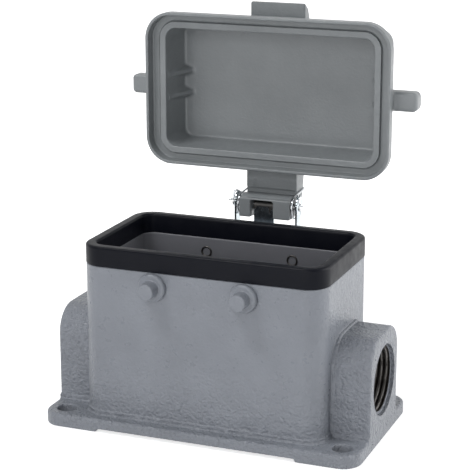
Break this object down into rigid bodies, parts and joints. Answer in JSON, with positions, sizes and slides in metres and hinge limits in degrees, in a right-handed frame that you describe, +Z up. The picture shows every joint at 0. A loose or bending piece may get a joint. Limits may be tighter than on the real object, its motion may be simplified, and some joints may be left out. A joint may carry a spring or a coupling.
{
  "type": "heavy duty rectangular connector housing",
  "caption": "Surface-mounting metal housing for a rectangular connector, with end cable entries, rim seal, locking pegs and a hinged cover standing open.",
  "frame": {"origin": "middle of the base, on the surface it is bolted to, at the centre of the four mounting holes", "axes": "+X along the housing to the right-hand cable entry, +Y to the hinge side, +Z up out of the housing's mouth"},
  "size_m": [0.0954, 0.0755, 0.1164],
  "materials": {
    "housing_paint": "fine orange-peel paint on a die casting, satin",
    "seal_rubber": "matte black rubber with a faint sheen",
    "peg_paint": "satin paint on turned steel",
    "cover_paint": "satin paint on a die casting",
    "zinc_sheet": "zinc-plated pressed sheet",
    "zinc_steel": "zinc-plated steel",
    "spring_wire": "bright drawn spring wire"
  },
  "bodies": {
    "housing": {"housing": "housing_paint", "rim_seal": "seal_rubber", "peg_front_left": "peg_paint", "peg_front_right": "peg_paint", "peg_rear_left": "peg_paint", "peg_rear_right": "peg_paint", "hinge_bracket": "zinc_sheet", "bracket_rivet_left": "zinc_steel", "bracket_rivet_right": "zinc_steel", "hinge_pin": "zinc_steel", "spring_left": "spring_wire", "spring_right": "spring_wire"},
    "cover": {"cover": "cover_paint"}
  },
  "joints": [
    {"name": "cover_hinge", "type": "hinge", "parent": "housing", "child": "cover", "pos_m": [0, 0.0344, 0.05575], "axis": [1, 0, 0], "range_deg": [0, 90], "deforming": ["spring_left", "spring_right"]}
  ]
}
